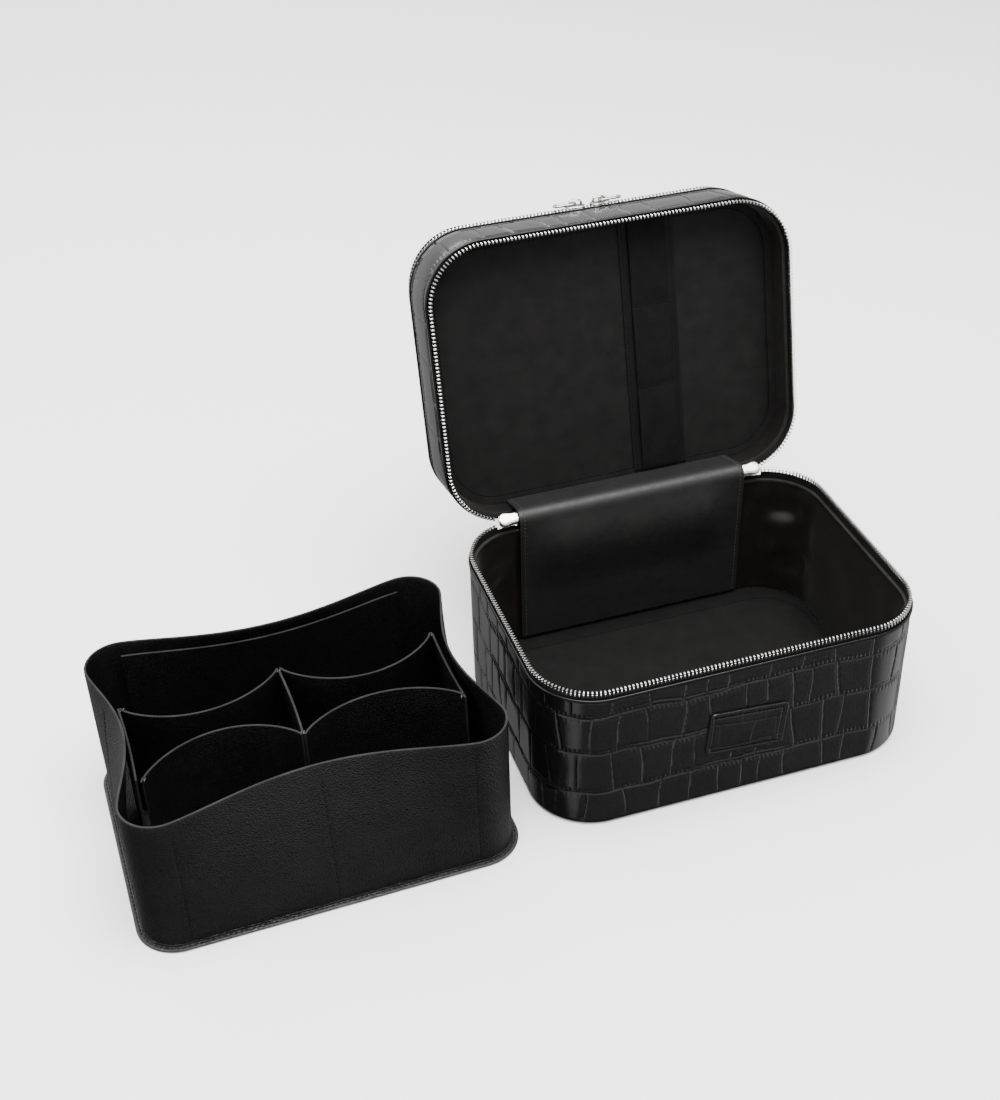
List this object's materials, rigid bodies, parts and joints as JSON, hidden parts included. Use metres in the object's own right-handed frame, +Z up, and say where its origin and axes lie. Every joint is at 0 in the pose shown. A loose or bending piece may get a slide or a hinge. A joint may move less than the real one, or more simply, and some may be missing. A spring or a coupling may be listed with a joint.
{
  "type": "makeup train case",
  "caption": "Zip-round leather train case with a two-part lid on a leather hinge, brush strap, top compartment, carry handle and a loose divider insert standing beside it.",
  "frame": {"origin": "middle of the case's footprint, on the surface that it stands on", "axes": "+Z up; +X along the case's long side, to the right as the open case faces its user; +Y towards its hinge"},
  "size_m": [0.5097, 0.3066, 0.2893],
  "materials": {
    "croc_leather": "glossy black leather with a crocodile emboss",
    "smooth_leather": "semi-gloss black leather",
    "board": "grey-brown board, covered",
    "lining_cloth": "satin-like black lining",
    "panel_cloth": "black woven cloth with a stitched edge",
    "strap_leather": "soft black leather strap",
    "elastic": "black woven elastic",
    "zip_tape": "black woven zip tape",
    "nickel": "polished nickel",
    "leatherette": "matt pebbled black leatherette with light grey cut edges",
    "flange_leatherette": "matt leatherette flange, cut edge"
  },
  "bodies": {
    "case": {"base_leather": "croc_leather", "base_board": "board", "body_board": "board", "body_leather": "croc_leather", "body_rim_welt": "smooth_leather", "body_lining": "lining_cloth", "body_lining_hem": "lining_cloth", "body_zip_tape": "zip_tape", "body_zip_chain": "nickel", "floor_panel": "panel_cloth", "hinge_panel": "smooth_leather", "hinge_fold": "smooth_leather", "back_hinge_strip": "smooth_leather", "badge_patch": "croc_leather"},
    "lid": {"lid_board": "board", "lid_leather": "croc_leather", "lid_rim_welt": "smooth_leather", "lid_lining": "lining_cloth", "lid_lining_hem": "lining_cloth", "lid_zip_tape": "zip_tape", "lid_zip_chain": "nickel", "lid_hinge_panel": "smooth_leather", "lid_back_strip": "smooth_leather", "lid_panel": "panel_cloth", "lid_panel_binding": "panel_cloth", "brush_strap": "strap_leather", "brush_elastic": "elastic", "pocket_lining": "lining_cloth", "band_top_welt": "smooth_leather", "band_zip_tape": "zip_tape", "band_zip_chain": "nickel", "band_zip_stops": "nickel"},
    "top_cover": {"cover_zip_chain": "nickel", "cover_zip_tape": "zip_tape", "cover_welt": "smooth_leather", "cover_board": "board", "cover_leather": "croc_leather", "cover_lining": "lining_cloth", "handle_chapes": "smooth_leather", "chape_rivets": "nickel"},
    "handle": {"handle_rings": "nickel", "carry_handle": "smooth_leather"},
    "main_slider_left": {"main_slider_left": "nickel"},
    "main_slider_right": {"main_slider_right": "nickel"},
    "main_pull_left": {"main_pull_left": "nickel"},
    "main_pull_right": {"main_pull_right": "nickel"},
    "cover_slider_left": {"cover_slider_left": "nickel"},
    "cover_slider_right": {"cover_slider_right": "nickel"},
    "cover_pull_left": {"cover_pull_left": "nickel"},
    "cover_pull_right": {"cover_pull_right": "nickel"},
    "insert": {"insert_base": "leatherette", "insert_flange": "flange_leatherette", "insert_wall": "leatherette", "insert_back_pocket": "leatherette", "insert_front_pocket": "leatherette", "back_dividers": "leatherette", "front_dividers": "leatherette", "side_dividers": "leatherette", "centre_divider": "leatherette", "wall_seam_tab": "leatherette"}
  },
  "joints": [
    {"name": "lid_hinge", "type": "hinge", "parent": "case", "child": "lid", "pos_m": [0, 0.0933, 0.1065], "axis": [-1, 0, 0], "range_deg": [-103.2, 5], "deforming": ["hinge_fold"]},
    {"name": "cover_hinge", "type": "hinge", "parent": "lid", "child": "top_cover", "pos_m": [0, 0.14669, 0.09326], "axis": [-1, 0, 0], "range_deg": [0, 100]},
    {"name": "handle_swing", "type": "hinge", "parent": "top_cover", "child": "handle", "pos_m": [0, 0.18295, 0.1813], "axis": [1, 0, 0], "range_deg": [0, 178]},
    {"name": "main_slider_left_tilt", "type": "hinge", "parent": "case", "child": "main_slider_left", "pos_m": [0, 0.0933, 0.1065], "axis": [-1, 0, 0], "range_deg": [-51.6, 2.5]},
    {"name": "main_slider_right_tilt", "type": "hinge", "parent": "case", "child": "main_slider_right", "pos_m": [0, 0.0933, 0.1065], "axis": [-1, 0, 0], "range_deg": [-51.6, 2.5]},
    {"name": "main_pull_left_swing", "type": "hinge", "parent": "main_slider_left", "child": "main_pull_left", "pos_m": [-0.0888, 0.09578, 0.10336], "axis": [0, -0.7837, -0.6211], "range_deg": [-60, 45]},
    {"name": "main_pull_right_swing", "type": "hinge", "parent": "main_slider_right", "child": "main_pull_right", "pos_m": [0.0888, 0.09578, 0.10336], "axis": [0, 0.7837, 0.6211], "range_deg": [-60, 45]},
    {"name": "cover_slider_left_travel", "type": "slide", "parent": "lid", "child": "cover_slider_left", "axis": [-1, 0, 0], "range_m": [0, 0.072]},
    {"name": "cover_slider_right_travel", "type": "slide", "parent": "lid", "child": "cover_slider_right", "axis": [1, 0, 0], "range_m": [0, 0.065]},
    {"name": "cover_pull_left_swing", "type": "hinge", "parent": "cover_slider_left", "child": "cover_pull_left", "pos_m": [-0.005, 0.19053, 0.28019], "axis": [0, 0.9736, -0.2284], "range_deg": [0, 100]},
    {"name": "cover_pull_right_swing", "type": "hinge", "parent": "cover_slider_right", "child": "cover_pull_right", "pos_m": [0.012, 0.19053, 0.28019], "axis": [0, -0.9736, 0.2284], "range_deg": [0, 100]},
    {"name": "insert_lift", "type": "slide", "parent": "case", "child": "insert", "axis": [0, 0, 1], "range_m": [0, 0.15]}
  ],
  "couplings": [
    {"joint": "main_slider_left_tilt", "follows": "lid_hinge", "ratio": 0.5},
    {"joint": "main_slider_right_tilt", "follows": "lid_hinge", "ratio": 0.5}
  ]
}
